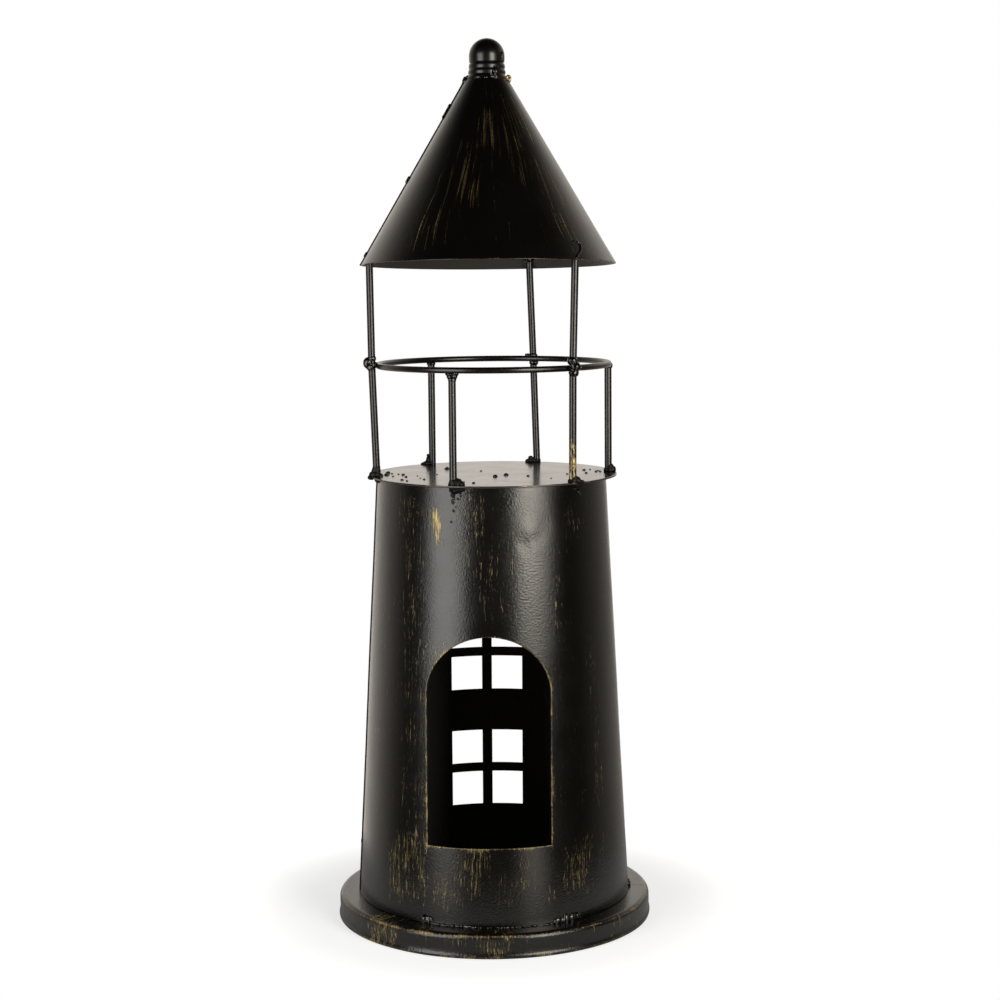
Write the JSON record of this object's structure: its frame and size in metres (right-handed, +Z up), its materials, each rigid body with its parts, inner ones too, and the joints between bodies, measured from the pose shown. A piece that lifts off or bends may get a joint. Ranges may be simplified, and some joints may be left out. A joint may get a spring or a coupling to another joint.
{
  "type": "lighthouse ornament",
  "caption": "Free-standing lighthouse lantern of welded, black-painted sheet and wire: tapered tower with arched door and windows, open gallery with ring rail, cone roof and ball finial.",
  "frame": {"origin": "middle of the base pan's underside, on the surface that the ornament stands on", "axes": "+Z up along the tower; -Y is the side with the arched door; +X is to the right when looking at the door"},
  "size_m": [0.18, 0.18, 0.4965],
  "materials": {
    "sheet": "glossy black paint, dry-brushed with brass",
    "wire": "glossy black paint",
    "finial": "glossy black paint",
    "weld": "glossy black paint over rough weld"
  },
  "bodies": {
    "root": {"base_pan": "sheet", "tower_shell": "sheet", "gallery_deck": "sheet", "gallery_ring": "wire", "tall_post_left": "wire", "tall_post_back": "wire", "tall_post_front": "wire", "short_post_back_left": "wire", "short_post_front_left": "wire", "short_post_right": "wire", "roof_cone": "sheet", "finial_collar": "finial", "finial_ball": "finial", "foot_weld_beads": "weld", "deck_weld_beads": "weld", "edge_weld_beads": "weld", "ring_weld_beads": "weld", "roof_weld_beads": "weld", "roof_burn_bead": "weld", "finial_weld_beads": "weld", "tower_seam_tack": "weld", "roof_seam_tacks": "weld"}
  },
  "joints": []
}
